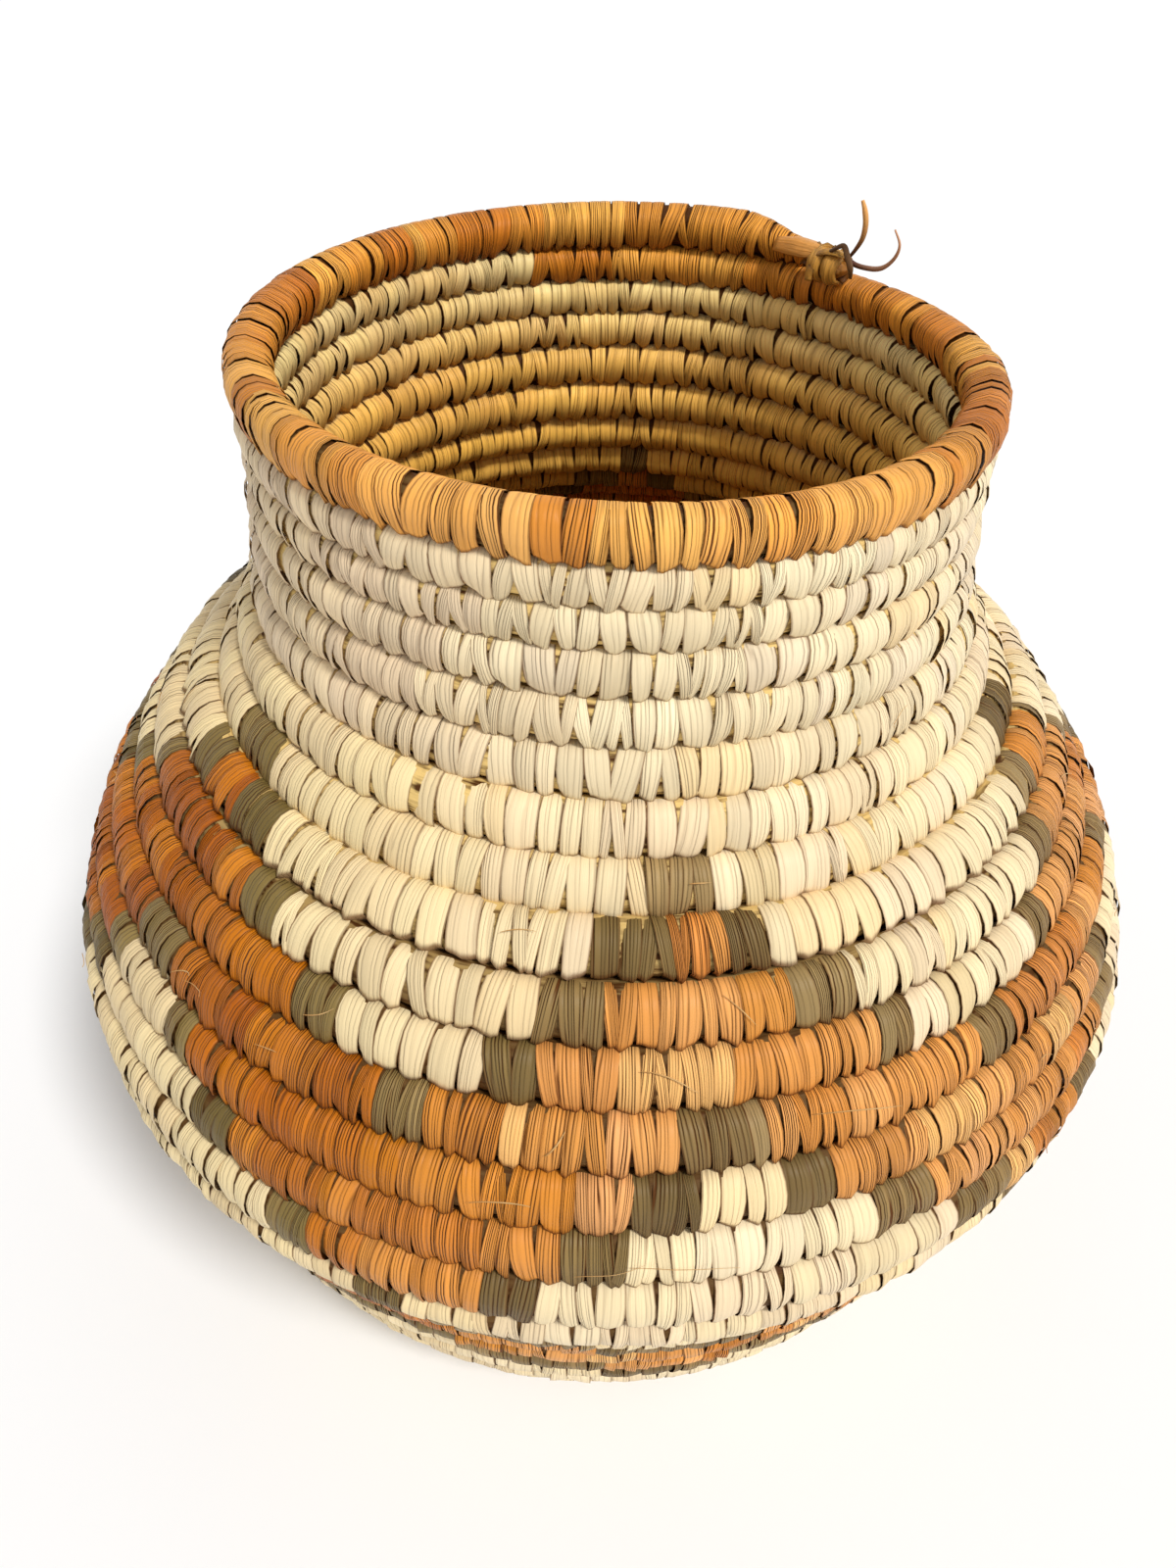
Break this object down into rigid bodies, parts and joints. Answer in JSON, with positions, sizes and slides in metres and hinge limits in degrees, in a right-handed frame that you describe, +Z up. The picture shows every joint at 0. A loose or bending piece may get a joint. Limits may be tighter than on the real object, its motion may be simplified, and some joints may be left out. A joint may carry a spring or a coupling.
{
  "type": "basket",
  "caption": "Coiled jar-shaped basket with a wide belly, a straight open neck, a flat base, a stepped zigzag pattern and a bound rim with loose strip ends.",
  "frame": {"origin": "middle of the base, on the surface that the basket stands on", "axes": "+Z up through the mouth, -Y towards the side that the picture shows in front, +X to the right; the rim's end lies at the back right"},
  "size_m": [0.3044, 0.3042, 0.2914],
  "materials": {
    "cream_palm": "dry striated palm leaf strip, undyed, satin",
    "rust_palm": "palm leaf strip dyed rust orange, uneven, satin",
    "gold_straw": "golden split straw of the bundle's end, glossy in places",
    "dark_palm": "dark brown palm strip, satin"
  },
  "bodies": {
    "root": {"rim_coil": "rust_palm", "neck_coil_01": "cream_palm", "neck_coil_02": "cream_palm", "neck_coil_03": "cream_palm", "neck_coil_04": "cream_palm", "shoulder_coil_01": "cream_palm", "shoulder_coil_02": "cream_palm", "shoulder_coil_03": "cream_palm", "shoulder_coil_04": "cream_palm", "shoulder_coil_05": "rust_palm", "shoulder_coil_06": "rust_palm", "belly_coil_01": "rust_palm", "belly_coil_02": "rust_palm", "belly_coil_03": "rust_palm", "belly_coil_04": "cream_palm", "lower_coil_01": "cream_palm", "lower_coil_02": "cream_palm", "lower_coil_03": "cream_palm", "lower_coil_04": "rust_palm", "lower_coil_05": "rust_palm", "lower_coil_06": "cream_palm", "lower_coil_07": "cream_palm", "lower_coil_08": "cream_palm", "lower_coil_09": "cream_palm", "base_coil_01": "cream_palm", "base_coil_02": "cream_palm", "base_coil_03": "cream_palm", "base_coil_04": "cream_palm", "base_coil_05": "cream_palm", "base_coil_06": "cream_palm", "base_coil_07": "cream_palm", "base_coil_08": "cream_palm", "base_start": "cream_palm", "rim_end_knot": "gold_straw", "tie_strip": "dark_palm", "tail_long": "rust_palm", "tail_short": "rust_palm"}
  },
  "joints": []
}
